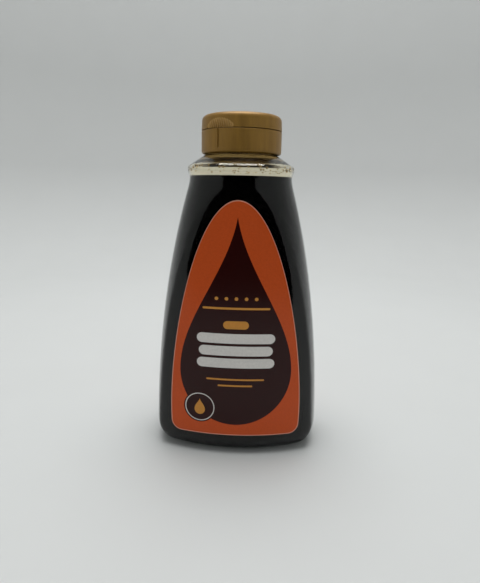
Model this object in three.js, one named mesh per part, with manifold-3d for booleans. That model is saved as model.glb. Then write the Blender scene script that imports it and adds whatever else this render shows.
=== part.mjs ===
// A squeezy syrup bottle: a clear flattened body, the syrup in it, a flip-top cap and two labels.
// Millimetres, +Z up. The origin is under the middle of the base, and the front label faces -Y.

import * as THREE from 'three';
import { mergeVertices } from 'three/addons/utils/BufferGeometryUtils.js';
import loadManifold from 'manifold-3d';

// Body: round in its outline, pressed flat at the front and the back
const BODY_WIDTH = 90.2;
const BODY_DEPTH = 53;
const PANEL_RADIUS = 107;          // sideways curve of the two label panels
const CREASE_BLEND = 2.4;          // softness of the crease round a panel
const PANEL_TOP = 140;             // a panel runs out into the round neck from here up
const PANEL_RUN_OUT = 0.057;       // how fast it does, per millimetre
const WALL = 0.9;
const HEEL = 13;
const FLANK_BOW = { radius: 43.8, z: 81.5 };
const FLANK_TOP = { radius: 27.9, z: 138 };
const WAIST = { radius: 26.6, z: 144.6 };
const WAIST_BLEND = 2.3;

// Underside: a shallow push-up inside a flat foot
const PUSH_UP = 2.5;
const PUSH_UP_FLAT = 14.4;
const FOOT_INNER = 24;
const FOOT_OUTER = 32;

// Bead, shoulder and neck
const BEAD_RADIUS = 27.6;
const BEAD_BOTTOM = 148.4;
const BEAD_TOP = 149.4;
const BEAD_CORNER = 1.8;
const BEAD_EASE = 1.1;             // how upright the wall is where it swells into the bead
const SHOULDER_TOP = { radius: 19.6, z: 155.3 };
const SHOULDER_LIP = 0.4;
const NECK_RADIUS = 18.4;
const NECK_TOP = 165.4;

// Syrup
const FILL_LEVEL = 145.2;
const FIT_GAP = 0.3;

// Cap: turned so that its thumb recess sits left of the label
const CAP_RADIUS = 20.5;
const CAP_BOTTOM = 156.2;
const CAP_TURN = THREE.MathUtils.degToRad(-31);
const SEAM_Z = 167.4;
const TOTAL_HEIGHT = 174.8;
const SKIRT_WALL = 1.6;
const SKIRT_EDGE = 1.2;
const LID_DRAFT = 0.25;
const LID_EDGE = 2.6;
const RECESS = { width: 15.4, height: 5.2, depth: 1.8, bow: { depth: 1.2, z: 2.9 } };
const GROOVE = { width: 0.7, depth: 0.5, bottom: 158.4 };
const HINGE = { width: 11, height: 5.6, depth: 1.1, proud: 0.2 };

// Labels: a tall arch with rounded lower corners
const LABEL_BOTTOM = 11.3;
const LABEL_TOP = 134;
const LABEL_HALF_WIDTH = 34.3;
const LABEL_CORNER = 5.5;
const LABEL_SIDE_BOW = { x: 36, z: 59 };
const LABEL_ARCH_REACH = 20.8;
const LABEL_GAP = 0.15;
const LABEL_THICKNESS = 0.2;
const LABEL_SKIN_HALF_WIDTH = 36;  // half width of the skin that the arch is cut from

// How finely round shapes are divided
const BODY_SEGMENTS = 56;
const CAP_SEGMENTS = 48;
const STRAP_STRIPS = 6;
const LABEL_STRIPS = 20;
const ARCH_STEPS = 10;

const OVERSHOOT = 1;               // how far a cutting tool reaches past what it cuts

const BODY_RADIUS = BODY_WIDTH / 2;
const HALF_DEPTH = BODY_DEPTH / 2;
const PANEL_CENTRE = PANEL_RADIUS - HALF_DEPTH;

const solids = await loadManifold();
solids.setup();

const point = (x, y) => new THREE.Vector2(x, y);

// Points along a chain of [curve, steps] pairs, each joint given once
function chain(...stretches) {
  const points = stretches.flatMap(([curve, steps]) => curve.getPoints(steps));
  return points.filter((p, i) => i === 0 || p.distanceTo(points[i - 1]) > 1e-6);
}

const line = (from, to) => [new THREE.LineCurve(from, to), 1];
const bow = (from, pull, to, steps) => [new THREE.QuadraticBezierCurve(from, pull, to), steps];
const swell = (from, pullA, pullB, to, steps) => [new THREE.CubicBezierCurve(from, pullA, pullB, to), steps];

// A quarter round between two points, about their shared corner
function quarter(from, corner, to, steps) {
  const circleShare = 0.5523;
  return swell(from, from.clone().lerp(corner, circleShare), to.clone().lerp(corner, circleShare), to, steps);
}

// A turned solid that stands on +Z, its first segment at the front
function turned(profile, segments) {
  return new THREE.LatheGeometry(profile, segments).rotateX(Math.PI / 2);
}

// A closed geometry as a solid for joins and cuts
function toSolid(geometry) {
  const bare = geometry.clone();
  bare.deleteAttribute('normal');
  bare.deleteAttribute('uv');
  const merged = mergeVertices(bare);
  const corners = merged.index.array;
  const triangles = [];
  for (let i = 0; i < corners.length; i += 3) {
    const [a, b, c] = corners.slice(i, i + 3);
    if (a !== b && b !== c && c !== a) triangles.push(a, b, c);
  }
  return new solids.Manifold(new solids.Mesh({
    numProp: 3,
    vertProperties: merged.attributes.position.array,
    triVerts: Uint32Array.from(triangles),
  }));
}

function toGeometry(solid) {
  const { vertProperties, triVerts } = solid.getMesh();
  const geometry = new THREE.BufferGeometry();
  geometry.setAttribute('position', new THREE.BufferAttribute(vertProperties, 3));
  geometry.setIndex(new THREE.BufferAttribute(triVerts, 1));
  geometry.computeVertexNormals();
  return geometry;
}

const cut = (geometry, ...tools) =>
  toGeometry(tools.reduce((solid, tool) => solid.subtract(toSolid(tool)), toSolid(geometry)));

const overlap = (a, b) => toGeometry(toSolid(a).intersect(toSolid(b)));

// Distance from the axis to a panel, in the direction `turn` from the front
function panelDistance(turn, z, inset) {
  const side = PANEL_CENTRE * Math.sin(turn);
  const behind = PANEL_CENTRE * Math.abs(Math.cos(turn));
  const runOut = PANEL_RUN_OUT * Math.max(z - PANEL_TOP, 0) ** 2;
  return Math.sqrt((PANEL_RADIUS - inset) ** 2 - side ** 2) - behind + runOut;
}

// The smaller of two distances, rounded where they meet
function softMin(a, b) {
  const near = Math.max(CREASE_BLEND - Math.abs(a - b), 0);
  return Math.min(a, b) - near ** 2 / (4 * CREASE_BLEND);
}

// Press the two label panels into a turned body; below the heel the underside narrows with them
function pressPanels(geometry, inset) {
  const position = geometry.attributes.position;
  const fullRadius = BODY_RADIUS - inset;
  for (let i = 0; i < position.count; i += 1) {
    const x = position.getX(i);
    const y = position.getY(i);
    const z = position.getZ(i);
    const radius = Math.hypot(x, y);
    if (radius < 1e-6) continue;
    const outline = z > HEEL ? radius : fullRadius;
    const share = softMin(outline, panelDistance(Math.atan2(x, -y), z, inset)) / outline;
    position.setXY(i, x * share, y * share);
  }
  return geometry;
}

// Outline of the body from the middle of its underside to its waist, set in by `inset`
function bodyOutline(inset) {
  const at = ({ radius, z }) => point(radius - inset, z);
  const foot = point(FOOT_INNER, inset);
  const heelStart = point(FOOT_OUTER, inset);
  const heelEnd = point(BODY_RADIUS - inset, HEEL);
  const waistPull = point(WAIST.radius - inset, WAIST.z - WAIST_BLEND);
  return [
    bow(point(0, PUSH_UP + inset), point(PUSH_UP_FLAT, PUSH_UP + inset), foot, 4),
    line(foot, heelStart),
    quarter(heelStart, point(BODY_RADIUS - inset, inset), heelEnd, 6),
    bow(heelEnd, at(FLANK_BOW), at(FLANK_TOP), 11),
    bow(at(FLANK_TOP), waistPull, at(WAIST), 3),
  ];
}

// The rest of the way up: bead, sloping shoulder and neck
function neckOutline(inset, top) {
  const waist = point(WAIST.radius - inset, WAIST.z);
  const bead = point(BEAD_RADIUS - inset, BEAD_BOTTOM);
  const beadTop = point(BEAD_RADIUS - inset, BEAD_TOP - inset / 2);
  const beadPull = point(BEAD_RADIUS - inset, BEAD_TOP + BEAD_CORNER / 2 - inset / 2);
  const shoulder = point(BEAD_RADIUS - BEAD_CORNER - inset, BEAD_TOP + BEAD_CORNER - inset / 2);
  const shoulderTop = point(SHOULDER_TOP.radius - inset, SHOULDER_TOP.z - inset);
  const neck = point(NECK_RADIUS - inset, SHOULDER_TOP.z + SHOULDER_LIP - inset);
  const mouth = point(NECK_RADIUS - inset, top);
  return [
    swell(waist, point(waist.x, waist.y + BEAD_EASE), point(bead.x, bead.y - BEAD_EASE), bead, 3),
    line(bead, beadTop),
    bow(beadTop, beadPull, shoulder, 3),
    line(shoulder, shoulderTop),
    line(shoulderTop, neck),
    line(neck, mouth),
    line(mouth, point(0, top)),
  ];
}

function bottleShell() {
  const mouth = NECK_TOP + OVERSHOOT;
  const outside = turned(chain(...bodyOutline(0), ...neckOutline(0, NECK_TOP)), BODY_SEGMENTS);
  const inside = turned(chain(...bodyOutline(WALL), ...neckOutline(WALL, mouth)), BODY_SEGMENTS);
  return cut(pressPanels(outside, 0), pressPanels(inside, WALL));
}

function syrupFill() {
  const inset = WALL + FIT_GAP;
  const rim = point(WAIST.radius - inset, FILL_LEVEL);
  const waist = point(WAIST.radius - inset, WAIST.z);
  const surface = [line(waist, rim), line(rim, point(0, FILL_LEVEL))];
  return pressPanels(turned(chain(...bodyOutline(inset), ...surface), BODY_SEGMENTS), inset);
}

// The upright groove under the thumb recess
function thumbGroove() {
  const block = new THREE.BoxGeometry(GROOVE.width, 2 * GROOVE.depth, SEAM_Z - GROOVE.bottom);
  return block.translate(0, -CAP_RADIUS, (GROOVE.bottom + SEAM_Z) / 2).rotateZ(CAP_TURN);
}

// A curved slab centred on -Y about the axis x = 0, y = centre, standing on z = 0
function curvedSlab(centre, inner, outer, halfWidth, height, strips) {
  const spread = Math.asin(halfWidth / inner);
  const front = -Math.PI / 2;
  const section = new THREE.Shape();
  section.absarc(0, centre, outer, front - spread, front + spread);
  section.absarc(0, centre, inner, front + spread, front - spread, true);
  return new THREE.ExtrudeGeometry(section, { depth: height, bevelEnabled: false, curveSegments: strips });
}

// A curved slab across the seam, opposite the thumb recess, between two depths in the cap's wall
function seamSlab(inner, outer, spare) {
  const halfWidth = HINGE.width / 2 - spare;
  const height = HINGE.height - 2 * spare;
  const slab = curvedSlab(0, CAP_RADIUS - inner, CAP_RADIUS + outer, halfWidth, height, STRAP_STRIPS);
  return slab.translate(0, 0, SEAM_Z - height / 2).rotateZ(CAP_TURN + Math.PI);
}

const hingeNotch = () => seamSlab(HINGE.depth, OVERSHOOT, 0);

function capBase() {
  const top = SEAM_Z - FIT_GAP / 2;
  const inner = CAP_RADIUS - SKIRT_WALL;
  const edgeStart = point(CAP_RADIUS - SKIRT_EDGE, CAP_BOTTOM);
  const edgeEnd = point(CAP_RADIUS, CAP_BOTTOM + SKIRT_EDGE);
  const deck = NECK_TOP + FIT_GAP;
  const skirt = turned(chain(
    line(point(0, deck), point(inner, deck)),
    line(point(inner, deck), point(inner, CAP_BOTTOM)),
    line(point(inner, CAP_BOTTOM), edgeStart),
    quarter(edgeStart, point(CAP_RADIUS, CAP_BOTTOM), edgeEnd, 3),
    line(edgeEnd, point(CAP_RADIUS, top)),
    line(point(CAP_RADIUS, top), point(0, top)),
  ), CAP_SEGMENTS);
  return cut(skirt, thumbGroove(), hingeNotch());
}

// The thumb recess is deepest at the seam and runs out up the lid's wall
function thumbRecess() {
  const floor = CAP_RADIUS - RECESS.depth;
  const mouth = CAP_RADIUS + OVERSHOOT;
  const section = new THREE.Shape();
  section.moveTo(floor, -OVERSHOOT);
  section.lineTo(mouth, -OVERSHOOT);
  section.lineTo(mouth, RECESS.height);
  section.lineTo(CAP_RADIUS, RECESS.height);
  section.quadraticCurveTo(CAP_RADIUS - RECESS.bow.depth, RECESS.bow.z, floor, 0);
  const block = new THREE.ExtrudeGeometry(section, {
    depth: RECESS.width, bevelEnabled: false, curveSegments: 4,
  });
  block.translate(0, 0, -RECESS.width / 2).rotateX(Math.PI / 2);
  return block.rotateZ(CAP_TURN - Math.PI / 2).translate(0, 0, SEAM_Z);
}

function capLid() {
  const bottom = SEAM_Z + FIT_GAP / 2;
  const topRadius = CAP_RADIUS - LID_DRAFT;
  const edgeStart = point(topRadius, TOTAL_HEIGHT - LID_EDGE);
  const edgeEnd = point(topRadius - LID_EDGE, TOTAL_HEIGHT);
  const lid = turned(chain(
    line(point(0, bottom), point(CAP_RADIUS, bottom)),
    line(point(CAP_RADIUS, bottom), edgeStart),
    quarter(edgeStart, point(topRadius, TOTAL_HEIGHT), edgeEnd, 5),
    line(edgeEnd, point(0, TOTAL_HEIGHT)),
  ), CAP_SEGMENTS);
  return cut(lid, thumbRecess(), hingeNotch());
}

// A strap that lies in the notch across the seam
const capHinge = () => seamSlab(HINGE.depth - FIT_GAP, HINGE.proud, FIT_GAP);

function labelShape() {
  const cornerTop = LABEL_BOTTOM + LABEL_CORNER;
  const cornerSide = LABEL_HALF_WIDTH - LABEL_CORNER;
  const shape = new THREE.Shape();
  shape.moveTo(-cornerSide, LABEL_BOTTOM);
  shape.lineTo(cornerSide, LABEL_BOTTOM);
  shape.absarc(cornerSide, cornerTop, LABEL_CORNER, -Math.PI / 2, 0);
  shape.bezierCurveTo(LABEL_SIDE_BOW.x, LABEL_SIDE_BOW.z, LABEL_ARCH_REACH, LABEL_TOP, 0, LABEL_TOP);
  shape.bezierCurveTo(
    -LABEL_ARCH_REACH, LABEL_TOP, -LABEL_SIDE_BOW.x, LABEL_SIDE_BOW.z, -LABEL_HALF_WIDTH, cornerTop);
  shape.absarc(-cornerSide, cornerTop, LABEL_CORNER, Math.PI, 1.5 * Math.PI);
  return shape;
}

// The arch cut out of a thin skin that follows the front panel
function frontLabel() {
  const inner = PANEL_RADIUS + LABEL_GAP;
  const outer = inner + LABEL_THICKNESS;
  const skin = curvedSlab(PANEL_CENTRE, inner, outer, LABEL_SKIN_HALF_WIDTH, TOTAL_HEIGHT, LABEL_STRIPS);
  const arch = new THREE.ExtrudeGeometry(labelShape(), {
    depth: BODY_DEPTH, bevelEnabled: false, curveSegments: ARCH_STEPS,
  });
  return overlap(skin, arch.rotateX(Math.PI / 2));
}

const finish = (color, roughness, metalness = 0) => ({ color, roughness, metalness });

const clearPlastic = { ...finish('#e6e2d6', 0.1), transparent: true, opacity: 0.35 };
const syrupBrown = finish('#1c0d08', 0.15);
const goldPlastic = finish('#8a6a30', 0.42, 0.35);
const labelOrange = finish('#a8441f', 0.45);

const pieces = [
  ['bottle', bottleShell(), clearPlastic],
  ['syrup', syrupFill(), syrupBrown],
  ['cap_base', capBase(), goldPlastic],
  ['cap_lid', capLid(), goldPlastic],
  ['cap_hinge', capHinge(), goldPlastic],
  ['label_front', frontLabel(), labelOrange],
  ['label_back', frontLabel().rotateZ(Math.PI), labelOrange],
];

const group = new THREE.Group();
for (const [name, geometry, look] of pieces) {
  const mesh = new THREE.Mesh(geometry, new THREE.MeshStandardMaterial(look));
  mesh.name = name;
  group.add(mesh);
}

export default group;
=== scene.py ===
"""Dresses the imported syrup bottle: clear body, dark syrup, gold flip-top cap and printed labels."""

import math
import random

import bmesh
import bpy
from bpy.props import FloatProperty, FloatVectorProperty, IntProperty, PointerProperty
from mathutils import Matrix, Vector
from mathutils.geometry import interpolate_bezier


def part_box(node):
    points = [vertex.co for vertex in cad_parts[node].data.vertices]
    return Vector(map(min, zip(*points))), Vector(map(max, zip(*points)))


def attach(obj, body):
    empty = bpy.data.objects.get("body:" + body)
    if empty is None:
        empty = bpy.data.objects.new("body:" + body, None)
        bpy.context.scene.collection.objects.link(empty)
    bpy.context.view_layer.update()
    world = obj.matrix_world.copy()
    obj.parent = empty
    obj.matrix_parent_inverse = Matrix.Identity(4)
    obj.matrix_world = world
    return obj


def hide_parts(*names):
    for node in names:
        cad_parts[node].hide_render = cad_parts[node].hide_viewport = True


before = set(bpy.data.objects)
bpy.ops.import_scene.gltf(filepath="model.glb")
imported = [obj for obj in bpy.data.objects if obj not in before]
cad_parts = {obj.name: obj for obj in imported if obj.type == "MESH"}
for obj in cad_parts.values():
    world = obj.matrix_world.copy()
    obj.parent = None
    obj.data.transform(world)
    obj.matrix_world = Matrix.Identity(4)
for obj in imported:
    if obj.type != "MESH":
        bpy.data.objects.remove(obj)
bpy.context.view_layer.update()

bl_info = {
    "name": "Syrup Bottle",
    "version": (1, 0, 0),
    "blender": (4, 5, 0),
    "location": "3D View > Sidebar > Syrup Bottle",
    "description": "Builds the looks of a squeezy syrup bottle over its packed solids",
    "category": "Add Mesh",
}

MM = 0.001

# Edges sharper than this stay crisp
SMOOTH_ANGLE = math.radians(35)

# Body outline in millimetres: pairs are (radius, height)
BODY_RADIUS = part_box("bottle")[1].x / MM
BODY_HALF_DEPTH = 26.5

# A label panel is part of a wide upright cylinder, which runs out of the body above its top
PANEL_RADIUS = 107
PANEL_CENTRE = PANEL_RADIUS - BODY_HALF_DEPTH
PANEL_TOP = 140
PANEL_RUN_OUT = 0.057

# Underside, flank, bead and neck
HEEL = 13
PUSH_UP = 2.5
PUSH_UP_FLAT = 14.4
FOOT_INNER = 24
FOOT_OUTER = 32
FLANK_BOW = (43.8, 81.5)
FLANK_TOP = (27.9, 138)
WAIST = (26.6, 144.6)
WAIST_BLEND = 2.3
BEAD_RADIUS = 27.6
BEAD_BOTTOM = 148.4
BEAD_TOP = 149.4
BEAD_CORNER = 1.8
SHOULDER_TOP = (19.6, 155.3)
NECK_RADIUS = 18.4
NECK_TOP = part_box("bottle")[1].z / MM

# Cap, turned on its thread so that the thumb recess faces left of the front
CAP_RADIUS = 20.5
CAP_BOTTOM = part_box("cap_base")[0].z / MM
CAP_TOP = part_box("cap_lid")[1].z / MM
SEAM = 167.4
CAP_TURN = math.radians(-31)
LID_RIM = 3
RECESS_HEIGHT = 5.2

# Label arch
LABEL_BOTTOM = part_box("label_front")[0].z / MM
LABEL_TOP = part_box("label_front")[1].z / MM
LABEL_HALF_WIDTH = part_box("label_front")[1].x / MM
LABEL_CORNER = 5.5
LABEL_SIDE_BOW = (36, 59)
LABEL_ARCH_REACH = 20.8


def linear(hex_code):
    """An sRGB hex colour as linear red, green and blue."""
    parts = (int(hex_code[i:i + 2], 16) / 255 for i in (1, 3, 5))
    return tuple(c / 12.92 if c <= 0.04045 else ((c + 0.055) / 1.055) ** 2.4 for c in parts)


def length(name, description, millimetres):
    """A length property whose default is given in millimetres."""
    return FloatProperty(name=name, description=description, default=millimetres * MM, unit="LENGTH")


def colour(name, description, hex_code):
    """A colour property whose default is given as sRGB hex."""
    return FloatVectorProperty(
        name=name, description=description, default=linear(hex_code), subtype="COLOR", min=0, max=1)


class SyrupBottleSizes(bpy.types.PropertyGroup):
    """Sizes that a user would change"""
    wall: length("Wall", "Thickness of the clear wall", 0.9)
    crease: length("Crease", "Softness of the crease round a label panel", 1.5)
    fill_overlap: length("Fill overlap", "How far the syrup reaches into the wall", 0.2)
    fill_level: length("Fill level", "Height of the syrup's surface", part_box("syrup")[1].z / MM)
    meniscus: length("Meniscus", "How far the syrup climbs the wall", 0.4)
    recess_depth: length("Thumb recess", "Depth of the lid's thumb recess at the seam", 1.8)
    rib_pitch: length("Grip ribs", "Spacing of the grip ribs in the thumb recess", 1.3)
    seam_gap: length("Seam", "Gap between the cap's base and its lid", 0.35)
    label_thickness: length("Label", "Thickness of the label film", 0.12)
    bubbles: IntProperty(
        name="Bubbles", description="Bubbles and drops above the syrup", default=70, min=0)


class SyrupBottleColours(bpy.types.PropertyGroup):
    """Colours that a user would change"""
    syrup: colour("Syrup", "Colour of light through a thin layer of syrup", "#d8a000")
    plastic: colour("Clear plastic", "Tint of the clear body", "#fdf8e8")
    residue: colour("Residue", "Thin syrup film left inside the neck", "#4a3414")
    drops: colour("Drops", "Bubbles and drops above the syrup", "#e0c48c")
    cap: colour("Cap", "Gold pearl of the cap", "#926c28")
    # Painted sheen: a lighter copy of the cap's gold for the thumb recess's upright faces, standing in
    # for the light they catch.
    recess_sheen: colour("Grip", "Gold pearl where the thumb recess is ribbed", "#b48c4c")
    ground: colour("Label ground", "Ground of the label", "#c24e1d")
    dark: colour("Dark ink", "Large dark shape on the label", "#2a0806")
    cream: colour("Cream ink", "Light shapes on the label", "#d8d4d0")
    gold: colour("Gold ink", "Fine gold shapes on the label", "#c98a3c")
    # Partly painted highlight: the pale film rim stands for the unprinted cut edge of the label and for
    # the highlight along that edge.
    film: colour("Film edge", "Cut edge of the label film", "#d89a84")
    floor: colour("Studio floor", "Floor and backdrop", "#cfd1d0")


def add(tree, kind, inputs=None, **settings):
    """Add a node, set its settings, and give its inputs values or links."""
    node = tree.nodes.new(kind)
    for key, value in settings.items():
        setattr(node, key, value)
    for key, value in (inputs or {}).items():
        if isinstance(value, bpy.types.NodeSocket):
            tree.links.new(value, node.inputs[key])
        else:
            node.inputs[key].default_value = value
    return node


def new_material(name):
    """A material with its tree emptied down to an output."""
    material = bpy.data.materials.new(name)
    material.use_nodes = True
    tree = material.node_tree
    tree.nodes.clear()
    return material, tree, add(tree, "ShaderNodeOutputMaterial")


def object_space(tree):
    """The Object coordinates to draw on."""
    return add(tree, "ShaderNodeTexCoord").outputs["Object"]


def grains(size_mm):
    """Noise scale whose features are about this many millimetres across."""
    return 1 / (size_mm * MM)


def rgba(rgb):
    """A colour with full alpha, for a node socket."""
    return (*rgb, 1.0)


def clear_pet(colours):
    """Clear PET, blow-moulded: glass-like, with long soft waves from the blowing."""
    material, tree, output = new_material("clear_blow_moulded_pet")
    place = object_space(tree)
    waves = add(tree, "ShaderNodeTexNoise", {"Vector": place, "Scale": grains(16), "Detail": 2.0})
    bump = add(tree, "ShaderNodeBump", {
        "Height": waves.outputs["Fac"], "Strength": 0.25, "Distance": 0.25 * MM})
    shader = add(tree, "ShaderNodeBsdfPrincipled", {
        "Base Color": rgba(colours.plastic),
        "Roughness": 0.03,
        "IOR": 1.43,
        "Transmission Weight": 1.0,
        "Normal": bump.outputs["Normal"],
    })
    tree.links.new(shader.outputs[0], output.inputs["Surface"])
    return material


def wetted_pet(name, tint, bend):
    """The same PET where syrup wets it: the two bend light almost alike, so the face all but vanishes."""
    material, tree, output = new_material(name)
    shader = add(tree, "ShaderNodeBsdfPrincipled", {
        "Base Color": rgba(tint),
        "Roughness": 0.0,
        "IOR": bend,
        "Transmission Weight": 1.0,
    })
    tree.links.new(shader.outputs[0], output.inputs["Surface"])
    return material


def amber_drop(colours):
    """A drop of syrup on the wall: so small that its amber colour shows, with a bright point of light."""
    material, tree, output = new_material("clinging_syrup_drop")
    shader = add(tree, "ShaderNodeBsdfPrincipled", {
        "Base Color": rgba(colours.drops),
        "Roughness": 0.08,
        "IOR": 1.46,
        "Transmission Weight": 0.55,
    })
    tree.links.new(shader.outputs[0], output.inputs["Surface"])
    return material


def dark_syrup(colours):
    """Maple syrup: clear, but so deep that only thin edges glow dark red."""
    material, tree, output = new_material("dark_maple_syrup")
    shader = add(tree, "ShaderNodeBsdfPrincipled", {
        "Base Color": (1.0, 1.0, 1.0, 1.0),
        "Roughness": 0.0,
        "IOR": 1.08,
        "Transmission Weight": 1.0,
    })
    depth = add(tree, "ShaderNodeVolumeAbsorption", {"Color": rgba(colours.syrup), "Density": 900.0})
    tree.links.new(shader.outputs[0], output.inputs["Surface"])
    tree.links.new(depth.outputs[0], output.inputs["Volume"])
    return material


def gold_pearl(name, colour):
    """Polypropylene with a gold pearl pigment, moulded: satin, with faint flow streaks and fine grain."""
    material, tree, output = new_material(name)
    place = object_space(tree)
    upright = add(tree, "ShaderNodeMapping", {"Vector": place, "Scale": (1.0, 1.0, 0.12)})
    flow = add(tree, "ShaderNodeTexNoise", {
        "Vector": upright.outputs[0], "Scale": grains(2.2), "Detail": 3.0, "Roughness": 0.6})
    tone = add(tree, "ShaderNodeMapRange", {
        "Value": flow.outputs["Fac"], "From Min": 0.3, "From Max": 0.7, "To Min": 0.86, "To Max": 1.12})
    hue = add(tree, "ShaderNodeHueSaturation", {"Value": tone.outputs[0], "Color": rgba(colour)})
    # Pearl flakes are far finer than a pixel, so they are drawn as half-millimetre grains
    flakes = add(tree, "ShaderNodeTexNoise", {"Vector": place, "Scale": grains(0.5), "Detail": 1.0})
    sheen = add(tree, "ShaderNodeMapRange", {
        "Value": flakes.outputs["Fac"], "To Min": 0.34, "To Max": 0.5})
    bump = add(tree, "ShaderNodeBump", {
        "Height": flakes.outputs["Fac"], "Strength": 0.12, "Distance": 0.05 * MM})
    shader = add(tree, "ShaderNodeBsdfPrincipled", {
        "Base Color": hue.outputs[0],
        "Metallic": 0.3,
        "Roughness": sheen.outputs[0],
        "Normal": bump.outputs["Normal"],
    })
    tree.links.new(shader.outputs[0], output.inputs["Surface"])
    return material


def printed_film(name, ink, roughness):
    """Ink on self-adhesive polypropylene film: even colour, faint press mottle, satin varnish."""
    material, tree, output = new_material(name)
    place = object_space(tree)
    mottle = add(tree, "ShaderNodeTexNoise", {"Vector": place, "Scale": grains(0.9), "Detail": 3.0})
    tone = add(tree, "ShaderNodeMapRange", {
        "Value": mottle.outputs["Fac"], "From Min": 0.3, "From Max": 0.7, "To Min": 0.95, "To Max": 1.05})
    hue = add(tree, "ShaderNodeHueSaturation", {"Value": tone.outputs[0], "Color": rgba(ink)})
    lie = add(tree, "ShaderNodeTexNoise", {"Vector": place, "Scale": grains(9), "Detail": 1.0})
    bump = add(tree, "ShaderNodeBump", {
        "Height": lie.outputs["Fac"], "Strength": 0.1, "Distance": 0.05 * MM})
    shader = add(tree, "ShaderNodeBsdfPrincipled", {
        "Base Color": hue.outputs[0],
        "Roughness": roughness,
        "IOR": 1.3,
        "Normal": bump.outputs["Normal"],
    })
    tree.links.new(shader.outputs[0], output.inputs["Surface"])
    return material


def studio_paper(colours):
    """Seamless background paper: matt, with a very faint mottle, and painted darker as it rises, a
    painted shade standing in for less light.
    """
    material, tree, output = new_material("seamless_studio_paper")
    place = object_space(tree)
    mottle = add(tree, "ShaderNodeTexNoise", {"Vector": place, "Scale": grains(60), "Detail": 2.0})
    tone = add(tree, "ShaderNodeMapRange", {
        "Value": mottle.outputs["Fac"], "To Min": 0.985, "To Max": 1.015})
    # Painted shade: the paper's colour is scaled from 1.0 at the floor down to 0.76 at 18 cm up, standing
    # in for less light higher up.
    height = add(tree, "ShaderNodeSeparateXYZ", {"Vector": place}).outputs["Z"]
    painted_shade = add(tree, "ShaderNodeMapRange", {
        "Value": height, "From Min": 0.0, "From Max": 0.18, "To Min": 1.0, "To Max": 0.76})
    value = add(tree, "ShaderNodeMath", {0: tone.outputs[0], 1: painted_shade.outputs[0]}, operation="MULTIPLY")
    hue = add(tree, "ShaderNodeHueSaturation", {"Value": value.outputs[0], "Color": rgba(colours.floor)})
    shader = add(tree, "ShaderNodeBsdfPrincipled", {
        "Base Color": hue.outputs[0], "Roughness": 0.8, "Specular IOR Level": 0.2})
    tree.links.new(shader.outputs[0], output.inputs["Surface"])
    return material


def arc(start, pull_a, pull_b, end, steps):
    """Points of a cubic curve between (radius, height) pairs, its end left for the next stretch."""
    corners = [Vector((*p, 0)) for p in (start, pull_a, pull_b, end)]
    return [(p.x, p.y) for p in interpolate_bezier(*corners, steps + 1)[:-1]]


def bow(start, pull, end, steps):
    """Points of a curve with one pull point."""
    pull_a = tuple(a + (b - a) * 2 / 3 for a, b in zip(start, pull))
    pull_b = tuple(a + (b - a) * 2 / 3 for a, b in zip(end, pull))
    return arc(start, pull_a, pull_b, end, steps)


def quarter(start, corner, end, steps):
    """Points of a quarter round about a corner."""
    circle_share = 0.5523
    pull_a = tuple(a + (b - a) * circle_share for a, b in zip(start, corner))
    pull_b = tuple(a + (b - a) * circle_share for a, b in zip(end, corner))
    return arc(start, pull_a, pull_b, end, steps)


def straight(start, end, steps):
    """Evenly spaced points from start, its end left for the next stretch."""
    return [tuple(a + (b - a) * i / steps for a, b in zip(start, end)) for i in range(steps)]


def turned(profile, arcs):
    """Spin a profile of (radius, height) millimetres about Z through (angle, steps) arcs."""
    bm = bmesh.new()
    verts = [bm.verts.new((0, -radius * MM, height * MM)) for radius, height in profile]
    ring = [bm.edges.new(pair) for pair in zip(verts, verts[1:])]
    geometry = verts + ring
    for angle, steps in arcs:
        made = bmesh.ops.spin(
            bm, geom=geometry, cent=(0, 0, 0), axis=(0, 0, 1), angle=angle, steps=steps,
            use_merge=angle == math.tau)
        geometry = made["geom_last"]
    touching = 0.002 * MM
    bmesh.ops.remove_doubles(bm, verts=bm.verts, dist=touching)
    bmesh.ops.recalc_face_normals(bm, faces=bm.faces)
    return bm


def full_turn(steps):
    """One whole turn in even steps."""
    return [(math.tau, steps)]


def finish_piece(bm, name, material, slot, *nodes):
    """Make the bmesh an object that rides on the bottle and stands for its CAD nodes."""
    mesh = bpy.data.meshes.new(name)
    bm.to_mesh(mesh)
    bm.free()
    mesh.materials.append(material)
    mesh.shade_smooth()
    mesh.set_sharp_from_angle(angle=SMOOTH_ANGLE)
    piece = bpy.data.objects.new(name, mesh)
    bpy.context.scene.collection.objects.link(piece)
    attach(piece, "root")
    if nodes:
        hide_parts(*nodes)
    return piece


def panel_distance(turn, height, inset):
    """Distance from the axis to a label panel, in the direction turned from the front."""
    side = PANEL_CENTRE * math.sin(turn)
    distance = math.sqrt((PANEL_RADIUS - inset) ** 2 - side ** 2) - PANEL_CENTRE * abs(math.cos(turn))
    return distance + PANEL_RUN_OUT * max(height - PANEL_TOP, 0) ** 2


def press_panels(bm, inset, crease):
    """Press the two label panels into a turned body; below the heel the underside narrows with them."""
    on_axis = 0.001
    for vert in bm.verts:
        radius = math.hypot(vert.co.x, vert.co.y) / MM
        height = vert.co.z / MM
        if radius < on_axis:
            continue
        outline = radius if height > HEEL else BODY_RADIUS - inset
        panel = panel_distance(math.atan2(vert.co.x, -vert.co.y), height, inset)
        near = max(crease - abs(outline - panel), 0)
        share = (min(outline, panel) - near ** 2 / (4 * crease)) / outline
        vert.co.x *= share
        vert.co.y *= share


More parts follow.
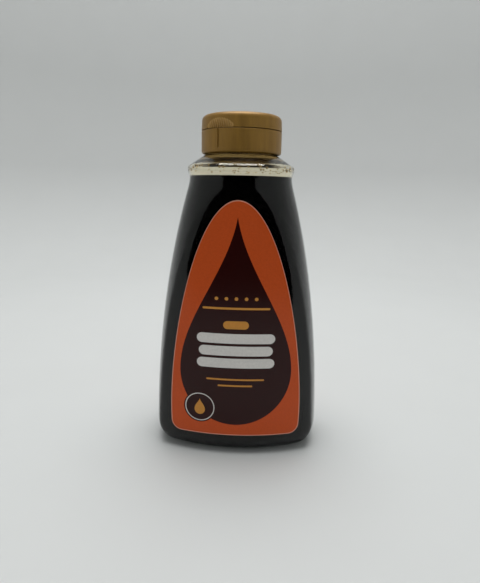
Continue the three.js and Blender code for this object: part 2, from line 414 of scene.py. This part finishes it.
def body_outline(inset):
    """Body profile from the middle of the underside to the waist, set in from the outside."""
    foot = (FOOT_INNER, inset)
    heel_start = (FOOT_OUTER, inset)
    heel_end = (BODY_RADIUS - inset, HEEL)
    flank_pull = (FLANK_BOW[0] - inset, FLANK_BOW[1])
    flank_top = (FLANK_TOP[0] - inset, FLANK_TOP[1])
    waist = (WAIST[0] - inset, WAIST[1])
    return [
        *bow((0, PUSH_UP + inset), (PUSH_UP_FLAT, PUSH_UP + inset), foot, 8),
        *straight(foot, heel_start, 2),
        *quarter(heel_start, (BODY_RADIUS - inset, inset), heel_end, 14),
        *bow(heel_end, flank_pull, flank_top, 56),
        *bow(flank_top, (waist[0], waist[1] - WAIST_BLEND), waist, 8),
    ]


def neck_outline(inset):
    """Profile of bead, shoulder and neck up to the mouth, set in from the outside."""
    waist = (WAIST[0] - inset, WAIST[1])
    bead = (BEAD_RADIUS - inset, BEAD_BOTTOM)
    ease = 0.3 * (BEAD_BOTTOM - WAIST[1])
    lip = 0.6
    bead_top = (BEAD_RADIUS - inset, BEAD_TOP - inset / 2)
    shoulder = (BEAD_RADIUS - BEAD_CORNER - inset, BEAD_TOP + BEAD_CORNER - inset / 2)
    shoulder_top = (SHOULDER_TOP[0] - inset, SHOULDER_TOP[1] - inset)
    neck = (NECK_RADIUS - inset, SHOULDER_TOP[1] + lip - inset)
    return [
        *arc(waist, (waist[0], waist[1] + ease), (bead[0], bead[1] - ease), bead, 10),
        *straight(bead, bead_top, 4),
        *bow(bead_top, (bead_top[0], bead_top[1] + BEAD_CORNER / 2), shoulder, 6),
        *straight(shoulder, shoulder_top, 6),
        *bow(shoulder_top, (neck[0], shoulder_top[1] + lip / 2), neck, 4),
        *straight(neck, (neck[0], NECK_TOP), 4),
        (neck[0], NECK_TOP),
    ]


class SYRUP_OT_bottle(bpy.types.Operator):
    """Build the clear body with its wall"""
    bl_idname = "syrup.bottle"
    bl_label = "Clear Bottle"

    def execute(self, context):
        sizes = context.scene.syrup_sizes
        walls = []
        for inset in (0, sizes.wall / MM):
            bm = turned(body_outline(inset) + neck_outline(inset), full_turn(192))
            press_panels(bm, inset, sizes.crease / MM)
            walls.append(bm)
        outside, inside = walls
        bmesh.ops.reverse_faces(inside, faces=inside.faces)
        inner_wall = bpy.data.meshes.new("inner_wall")
        inside.to_mesh(inner_wall)
        inside.free()
        outside.from_mesh(inner_wall)
        bpy.data.meshes.remove(inner_wall)
        rims = [edge for edge in outside.edges if edge.is_boundary]
        bmesh.ops.bridge_loops(outside, edges=rims)
        outside.normal_update()
        self.wet(outside, sizes)
        colours = context.scene.syrup_colours
        shell = finish_piece(outside, "bottle_shell", clear_pet(colours), "clear_plastic", "bottle")
        shell.data.materials.append(wetted_pet("syrup_wetted_pet", colours.plastic, 1.03))
        shell.data.materials.append(wetted_pet("syrup_filmed_pet", colours.residue, 1.2))
        return {"FINISHED"}

    def wet(self, bm, sizes):
        """Give the inner wall its wetted face below the level, and its filmed face in the neck."""
        film_depth = 2
        wetted = sizes.fill_level + sizes.meniscus
        film = (SHOULDER_TOP[1] - film_depth) * MM
        inside = Vector((0, 0, sizes.fill_level / 2))
        for face in bm.faces:
            middle = face.calc_center_median()
            inward = face.normal.dot(middle - inside) < 0
            if inward and middle.z < wetted:
                face.material_index = 1
            elif inward and middle.z > film:
                face.material_index = 2


class SYRUP_OT_fill(bpy.types.Operator):
    """Build the syrup up to its level, reaching just into the wall"""
    bl_idname = "syrup.fill"
    bl_label = "Syrup"

    def execute(self, context):
        sizes = context.scene.syrup_sizes
        inset = (sizes.wall - sizes.fill_overlap) / MM
        level = sizes.fill_level / MM
        rim = (WAIST[0] - inset, level + sizes.meniscus / MM)
        climb, run_out = 0.3, 3
        profile = [
            *body_outline(inset),
            *straight((WAIST[0] - inset, WAIST[1]), rim, 3),
            *bow(rim, (rim[0] - climb, level), (rim[0] - run_out, level), 8),
            *straight((rim[0] - run_out, level), (0, level), 8),
            (0, level),
        ]
        bm = turned(profile, full_turn(192))
        press_panels(bm, inset, sizes.crease / MM)
        finish_piece(bm, "syrup_fill", dark_syrup(context.scene.syrup_colours), "syrup", "syrup")
        return {"FINISHED"}


def recess_floor(sizes, height):
    """Radius of the thumb recess's floor at a height above the seam."""
    curl = 1.8
    share = min(max(height / RECESS_HEIGHT, 0), 1)
    return CAP_RADIUS - sizes.recess_depth / MM * (1 - share ** curl)


def cut_recess(bm, sizes):
    """Press the thumb recess into the lid's front wall, give it its ribs, and paint its upright faces a
    lighter gold, a painted sheen.
    """
    half_width, half_turn = 7.7, 1
    rib_height, rib_fade = 0.5, 1.2
    upright = 0.9
    pitch = sizes.rib_pitch / MM
    pressed = set()
    for vert in bm.verts:
        turn = math.atan2(vert.co.x, -vert.co.y)
        radius = math.hypot(vert.co.x, vert.co.y) / MM
        across = radius * math.sin(turn)
        height = vert.co.z / MM - SEAM
        if abs(turn) > half_turn or abs(across) > half_width or height > RECESS_HEIGHT:
            continue
        floor = recess_floor(sizes, height) / math.cos(turn)
        depth_share = min((CAP_RADIUS - floor) / rib_fade, 1)
        ribs = rib_height * max(depth_share, 0) * (0.5 + 0.5 * math.cos(math.tau * across / pitch))
        wanted = min(radius, floor + ribs)
        if radius > CAP_RADIUS - LID_RIM and wanted < radius:
            vert.co.x *= wanted / radius
            vert.co.y *= wanted / radius
            pressed.add(vert)
    # Painted sheen: the recess's upright faces take the lighter gold in the second slot.
    for face in bm.faces:
        if pressed.issuperset(face.verts) and abs(face.normal.z) < upright:
            face.material_index = 1


def cut_groove(bm, half_angle):
    """Press the upright groove into the cap's base, under the thumb recess."""
    depth, wall = 0.5, 1
    bottom, share = 158.4, 0.7
    for vert in bm.verts:
        turn = math.atan2(vert.co.x, -vert.co.y)
        radius = math.hypot(vert.co.x, vert.co.y) / MM
        height = vert.co.z / MM
        if abs(turn) < half_angle * share and radius > CAP_RADIUS - wall and height > bottom:
            vert.co.x *= (radius - depth) / radius
            vert.co.y *= (radius - depth) / radius


class SYRUP_OT_cap(bpy.types.Operator):
    """Build the flip-top cap: base, lid with thumb recess, and hinge strap"""
    bl_idname = "syrup.cap"
    bl_label = "Flip-top Cap"

    def execute(self, context):
        sizes = context.scene.syrup_sizes
        colours = context.scene.syrup_colours
        gold = gold_pearl("moulded_gold_pearl_polypropylene", colours.cap)
        # Painted sheen: the same gold pearl made lighter, for the thumb recess.
        recess_sheen = gold_pearl("gold_pearl_polypropylene_with_painted_sheen", colours.recess_sheen)
        half_gap = sizes.seam_gap / MM / 2
        turn = Matrix.Rotation(CAP_TURN, 4, "Z")
        pieces = (
            ("cap_skirt", self.base(half_gap), "cap_base"),
            ("cap_top", self.lid(sizes, half_gap), "cap_lid"),
            ("cap_strap", self.hinge(), "cap_hinge"),
        )
        for name, bm, node in pieces:
            bmesh.ops.transform(bm, matrix=turn, verts=bm.verts)
            piece = finish_piece(bm, name, gold, "gold_plastic", node)
            piece.data.materials.append(recess_sheen)
        return {"FINISHED"}

    def base(self, half_gap):
        """Skirt with a rounded lower edge, a small lip at the seam and the upright groove."""
        wall, edge, lip, gap = 1.6, 1.2, 0.3, 0.3
        inner = CAP_RADIUS - wall
        top = SEAM - half_gap
        deck = NECK_TOP + gap
        profile = [
            *straight((0, deck), (inner, deck), 4),
            *straight((inner, deck), (inner, CAP_BOTTOM), 4),
            *straight((inner, CAP_BOTTOM), (CAP_RADIUS - edge, CAP_BOTTOM), 2),
            *quarter((CAP_RADIUS - edge, CAP_BOTTOM), (CAP_RADIUS, CAP_BOTTOM),
                     (CAP_RADIUS, CAP_BOTTOM + edge), 6),
            *straight((CAP_RADIUS, CAP_BOTTOM + edge), (CAP_RADIUS, top - lip), 24),
            *quarter((CAP_RADIUS, top - lip), (CAP_RADIUS, top), (CAP_RADIUS - lip, top), 4),
            *straight((CAP_RADIUS - lip, top), (0, top), 4),
            (0, top),
        ]
        half_angle = math.radians(1.3)
        bm = turned(profile, [(half_angle, 3), (math.tau - 2 * half_angle, 220), (half_angle, 3)])
        cut_groove(bm, half_angle)
        return bm

    def lid(self, sizes, half_gap):
        """Flat lid with a rounded top edge, a crisp lower edge and the thumb recess."""
        edge, lip, draft = 2.6, 0.25, 0.25
        bottom = SEAM + half_gap
        top_radius = CAP_RADIUS - draft
        rim = (CAP_RADIUS, bottom + lip)
        edge_start = (top_radius, CAP_TOP - edge)
        edge_end = (top_radius - edge, CAP_TOP)
        profile = [
            *straight((0, bottom), (CAP_RADIUS - LID_RIM, bottom), 3),
            *straight((CAP_RADIUS - LID_RIM, bottom), (CAP_RADIUS - lip, bottom), 4),
            *quarter((CAP_RADIUS - lip, bottom), (CAP_RADIUS, bottom), rim, 3),
            *straight(rim, edge_start, 26),
            *quarter(edge_start, (top_radius, CAP_TOP), edge_end, 12),
            *straight(edge_end, (0, CAP_TOP), 6),
            (0, CAP_TOP),
        ]
        fine = math.radians(25)
        bm = turned(profile, [(fine, 90), (math.tau - 2 * fine, 170), (fine, 90)])
        cut_recess(bm, sizes)
        return bm

    def hinge(self):
        """Strap across the seam at the back, with a thin fold line."""
        half_angle = math.radians(14)
        half_height, corner = 2.5, 0.3
        low, high = SEAM - half_height, SEAM + half_height
        sunk, proud = 0.5, 0.25
        inner, outer = CAP_RADIUS - sunk, CAP_RADIUS + proud
        fold, fold_depth = 0.5, 0.35
        profile = [
            (inner, low), (outer, low + corner), (outer, SEAM - fold), (outer - fold_depth, SEAM),
            (outer, SEAM + fold), (outer, high - corner), (inner, high), (inner, low),
        ]
        bm = turned(profile, [(2 * half_angle, 24)])
        bmesh.ops.holes_fill(bm, edges=[edge for edge in bm.edges if edge.is_boundary], sides=0)
        bmesh.ops.transform(bm, matrix=Matrix.Rotation(math.pi - half_angle, 4, "Z"), verts=bm.verts)
        bmesh.ops.recalc_face_normals(bm, faces=bm.faces)
        return bm


def label_arch(margin):
    """Outline of the label, set in by a margin."""
    half = LABEL_HALF_WIDTH - margin
    bottom = LABEL_BOTTOM + margin
    top = LABEL_TOP - margin
    corner = LABEL_CORNER - margin
    corner_top = bottom + corner
    right = [
        *quarter((half - corner, bottom), (half, bottom), (half, corner_top), 8),
        *arc((half, corner_top), (LABEL_SIDE_BOW[0] - margin, LABEL_SIDE_BOW[1]),
             (LABEL_ARCH_REACH, top), (0, top), 60),
    ]
    left = [(-x, z) for x, z in reversed(right)]
    return [*right, (0, top), *left]


def disc(x, z, radius, steps=40):
    """Outline of a round spot."""
    turns = [math.tau * i / steps for i in range(steps)]
    return [(x + radius * math.cos(t), z + radius * math.sin(t)) for t in turns]


def bar(x, z, width, height):
    """Outline of a bar with round ends."""
    radius = height / 2
    reach = width / 2 - radius
    ends = []
    for side, start in ((1, -math.pi / 2), (-1, math.pi / 2)):
        turns = [start + math.pi * i / 10 for i in range(11)]
        ends += [(x + side * reach + radius * math.cos(t), z + radius * math.sin(t)) for t in turns]
    return ends


def plate(x, z, width, height, corner):
    """Outline of an upright plate with rounded corners."""
    right, top = width / 2, height / 2
    upper = quarter((right, top - corner), (right, top), (right - corner, top), 10)
    upper.append((right - corner, top))
    half = upper + [(-a, b) for a, b in reversed(upper)]
    return [(x + a, z + b) for a, b in half] + [(x - a, z - b) for a, b in half]


def drop(x, bottom, top, width):
    """Outline of a syrup drop: a round belly drawn up to a point."""
    half = width / 2
    belly = bottom + half
    fullness, slimness = 0.95, 0.16
    tip = 0.35 * (top - belly)
    right = [
        *quarter((0, bottom), (half, bottom), (half, belly), 16),
        *arc((half, belly), (half, belly + half * fullness), (half * slimness, top - tip), (0, top), 30),
    ]
    left = [(-a, b) for a, b in reversed(right[1:])]
    return [(x + a, b) for a, b in [*right, (0, top), *left]]


def print_field(outlines, low, high, back):
    """Thin sheets of the given outlines, wrapped on a label panel between two lifts in millimetres."""
    bm = bmesh.new()
    for outline in outlines:
        bm.faces.new([bm.verts.new((x, 0, z)) for x, z in outline])
    strip = 2
    reach = int(LABEL_HALF_WIDTH)
    for x in range(-reach, reach + 1, strip):
        everything = bm.verts[:] + bm.edges[:] + bm.faces[:]
        bmesh.ops.bisect_plane(bm, geom=everything, dist=1e-6, plane_co=(x, 0, 0), plane_no=(1, 0, 0))
    bmesh.ops.triangulate(bm, faces=bm.faces)
    made = bmesh.ops.extrude_face_region(bm, geom=bm.faces[:])
    raised = {item for item in made["geom"] if isinstance(item, bmesh.types.BMVert)}
    for vert in bm.verts:
        radius = PANEL_RADIUS + (high if vert in raised else low)
        depth = math.sqrt(radius ** 2 - vert.co.x ** 2) - PANEL_CENTRE
        vert.co = Vector((vert.co.x, -depth, vert.co.z)) * MM
    if back:
        bmesh.ops.transform(bm, matrix=Matrix.Rotation(math.pi, 4, "Z"), verts=bm.verts)
    bmesh.ops.recalc_face_normals(bm, faces=bm.faces)
    return bm


class SYRUP_OT_labels(bpy.types.Operator):
    """Build both labels: film, ground colour and printed shapes"""
    bl_idname = "syrup.labels"
    bl_label = "Labels"

    def execute(self, context):
        colours = context.scene.syrup_colours
        # The film's pale colour shows mainly as the rim round the ground: unprinted edge and painted edge
        # highlight.
        self.film = printed_film("label_film_with_painted_edge_highlight", colours.film, 0.4)
        self.ground = printed_film("orange_label_ink", colours.ground, 0.2)
        self.dark = printed_film("dark_label_ink", colours.dark, 0.18)
        self.cream = printed_film("cream_label_ink", colours.cream, 0.45)
        self.gold = printed_film("gold_label_ink", colours.gold, 0.35)
        self.lift = 0.04
        self.thickness = context.scene.syrup_sizes.label_thickness / MM
        self.layers(False, "front", self.front_design())
        self.layers(True, "back", self.back_design())
        return {"FINISHED"}

    def layers(self, back, face, design):
        """Film and ground, then the design's layers of ink on top; the ground is set in, so the pale film
        shows as a rim that is partly the unprinted cut edge and partly a painted highlight along it.
        """
        film_top = self.lift + self.thickness
        film = print_field([label_arch(0)], self.lift, film_top, back)
        finish_piece(film, f"label_film_{face}", self.film, "label_print", f"label_{face}")
        ink, bite, margin = 0.015, 0.005, 0.45
        inks = [("ground", self.ground, 0, [label_arch(margin)]), *design]
        for name, material, level, outlines in inks:
            low = film_top + level * ink - bite
            bm = print_field(outlines, low, film_top + (level + 1) * ink, back)
            finish_piece(bm, f"label_{name}_{face}", material, "label_print")

    def front_design(self):
        """A large dark drop with a stack of pancakes, fine gold rules and a round seal."""
        seal = (-18.5, 26.5)
        pancakes = [bar(0, 52 + 6.6 * i, 40 - 2 * (i % 2), 5.2) for i in range(3)]
        rules = [bar(0, 81, 34, 1.1), bar(0, 43, 30, 0.9), bar(0, 39.6, 18, 0.9)]
        dots = [disc(5 * i, 86, 0.9, 16) for i in range(-2, 3)]
        butter = [bar(0, 72.4, 13, 4.2)]
        return [
            ("drop", self.dark, 1, [drop(0, 17.5, 126, 58)]),
            ("pancakes", self.cream, 2, pancakes),
            ("rules", self.gold, 2, rules + dots + butter),
            ("seal_edge", self.dark, 2, [disc(*seal, 8.6)]),
            ("seal_ring", self.cream, 3, [disc(*seal, 7.9)]),
            ("seal_field", self.dark, 4, [disc(*seal, 7.4)]),
            ("seal_drop", self.gold, 5, [drop(seal[0], seal[1] - 4.2, seal[1] + 4.8, 5.6)]),
        ]

    def back_design(self):
        """A dark panel with plain cream rules, as a back label has, and no words."""
        widths = (40, 38, 40, 36, 40, 37, 22)
        lines = [bar(0, 78 - 4.2 * i, width, 1.0) for i, width in enumerate(widths)]
        return [
            ("panel", self.dark, 1, [plate(0, 62, 50, 46, 6)]),
            ("lines", self.cream, 2, lines + [bar(0, 45, 40, 3.2)]),
            ("small_drop", self.gold, 1, [drop(0, 101, 118, 9)]),
        ]


class SYRUP_OT_drops(bpy.types.Operator):
    """Build the bubbles and syrup drops that cling to the wall above the level"""
    bl_idname = "syrup.drops"
    bl_label = "Bubbles"

    def execute(self, context):
        sizes = context.scene.syrup_sizes
        draw = random.Random(7)
        smallest, largest = 0.3, 0.65
        lowest, highest = 148, 150.4
        wall = BEAD_RADIUS - sizes.wall / MM
        bm = bmesh.new()
        for _ in range(sizes.bubbles):
            radius = draw.uniform(smallest, largest)
            turn = draw.uniform(0, math.tau)
            height = draw.uniform(lowest, highest)
            place = Vector((wall * math.sin(turn), -wall * math.cos(turn), height)) * MM
            shape = Matrix.Translation(place) @ Matrix.Diagonal((radius, radius, radius, 1))
            bmesh.ops.create_icosphere(bm, subdivisions=2, radius=MM, matrix=shape)
        finish_piece(bm, "syrup_drops", amber_drop(context.scene.syrup_colours), "syrup")
        return {"FINISHED"}


class SYRUP_OT_stage(bpy.types.Operator):
    """Build the floor, the soft studio light and the camera"""
    bl_idname = "syrup.stage"
    bl_label = "Studio"

    def execute(self, context):
        scene = context.scene
        self.backdrop(scene)
        self.dark_card(scene)
        self.lights(scene)
        self.camera(scene)
        scene.view_settings.view_transform = "Standard"
        return {"FINISHED"}

    def backdrop(self, scene):
        """A round sweep of paper: floor, wide curve and wall."""
        wall, curve, tall = 900, 380, 1300
        profile = [
            *straight((0, 0), (wall - curve, 0), 6),
            *quarter((wall - curve, 0), (wall, 0), (wall, curve), 24),
            *straight((wall, curve), (wall, tall), 4),
            (wall, tall),
        ]
        bm = turned(profile, full_turn(96))
        bmesh.ops.reverse_faces(bm, faces=bm.faces)
        self.stage_piece(scene, bm, "paper_sweep", studio_paper(scene.syrup_colours))

    def dark_card(self, scene):
        """A curved dark card in front, seen only in reflections, wide below and narrower above."""
        black, tree, output = new_material("black_card")
        shader = add(tree, "ShaderNodeBsdfDiffuse", {"Color": (0.004, 0.004, 0.005, 1.0)})
        tree.links.new(shader.outputs[0], output.inputs["Surface"])
        radius, low, high = 340, 4, 360
        wide_to, narrow_from, narrowest = 170, 240, 0.27
        half_turn = math.radians(37)
        edge = [*straight((radius, low), (radius, high), 48), (radius, high)]
        card = turned(edge, [(2 * half_turn, 32)])
        bmesh.ops.transform(card, matrix=Matrix.Rotation(-half_turn, 4, "Z"), verts=card.verts)
        for vert in card.verts:
            share = min(max((vert.co.z / MM - wide_to) / (narrow_from - wide_to), 0), 1)
            turn = math.atan2(vert.co.x, -vert.co.y) * (1 - (1 - narrowest) * share)
            vert.co.x = radius * MM * math.sin(turn)
            vert.co.y = -radius * MM * math.cos(turn)
        flag = self.stage_piece(scene, card, "dark_card", black)
        flag.visible_camera = False
        flag.visible_diffuse = False
        flag.visible_transmission = False
        flag.visible_shadow = False

    def stage_piece(self, scene, bm, name, material):
        """Make the bmesh a stage object."""
        mesh = bpy.data.meshes.new(name)
        bm.to_mesh(mesh)
        bm.free()
        mesh.shade_smooth()
        mesh.materials.append(material)
        piece = bpy.data.objects.new(name, mesh)
        scene.collection.objects.link(piece)
        return piece

    def lights(self, scene):
        """One wide soft light overhead and a dim even fill."""
        lamp = bpy.data.lights.new("overhead_softbox", "AREA")
        lamp.shape = "DISK"
        lamp.size = 0.95
        lamp.energy = 12.6
        light = bpy.data.objects.new("overhead_softbox", lamp)
        light.location = (0, 0.12, 1.15)
        light.visible_camera = False
        scene.collection.objects.link(light)
        world = bpy.data.worlds.new("studio_fill")
        world.use_nodes = True
        fill = world.node_tree.nodes["Background"]
        fill.inputs["Color"].default_value = (0.95, 0.98, 1.0, 1.0)
        fill.inputs["Strength"].default_value = 0.12
        scene.world = world

    def camera(self, scene):
        """The photograph's view: close, a little above the middle, looking down."""
        focal_px, long_side_px = 450, 583
        distance, height = 242.8 * MM, 139.6 * MM
        azimuth, aim_right = math.radians(2.2), math.radians(0.17)
        pitch, roll = math.radians(12.95), math.radians(1.15)
        lens = bpy.data.cameras.new("camera")
        lens.sensor_width = 36
        lens.lens = lens.sensor_width * focal_px / long_side_px
        lens.clip_start = 0.01
        camera = bpy.data.objects.new("camera", lens)
        place = Vector((distance * math.sin(azimuth), -distance * math.cos(azimuth), height))
        heading = Matrix.Rotation(azimuth - aim_right, 4, "Z")
        tilt = Matrix.Rotation(math.pi / 2 - pitch, 4, "X")
        camera.matrix_world = Matrix.Translation(place) @ heading @ tilt @ Matrix.Rotation(roll, 4, "Z")
        scene.collection.objects.link(camera)
        scene.camera = camera


class SYRUP_PT_panel(bpy.types.Panel):
    """Lists the bottle's sizes, colours and pieces"""
    bl_idname = "SYRUP_PT_panel"
    bl_label = "Syrup Bottle"
    bl_space_type = "VIEW_3D"
    bl_region_type = "UI"
    bl_category = "Syrup Bottle"

    def draw(self, context):
        for group in (context.scene.syrup_sizes, context.scene.syrup_colours):
            for name in group.__annotations__:
                self.layout.prop(group, name)
        for operator in OPERATORS:
            self.layout.operator(operator.bl_idname)


OPERATORS = (
    SYRUP_OT_bottle, SYRUP_OT_fill, SYRUP_OT_cap, SYRUP_OT_labels, SYRUP_OT_drops, SYRUP_OT_stage)
CLASSES = (SyrupBottleSizes, SyrupBottleColours, *OPERATORS, SYRUP_PT_panel)


def register():
    for cls in CLASSES:
        bpy.utils.register_class(cls)
    bpy.types.Scene.syrup_sizes = PointerProperty(type=SyrupBottleSizes)
    bpy.types.Scene.syrup_colours = PointerProperty(type=SyrupBottleColours)


def unregister():
    del bpy.types.Scene.syrup_colours
    del bpy.types.Scene.syrup_sizes
    for cls in reversed(CLASSES):
        bpy.utils.unregister_class(cls)


def main():
    register()
    bpy.ops.syrup.stage()
    bpy.ops.syrup.bottle()
    bpy.ops.syrup.fill()
    bpy.ops.syrup.drops()
    bpy.ops.syrup.cap()
    bpy.ops.syrup.labels()


if __name__ == "__main__":
    main()
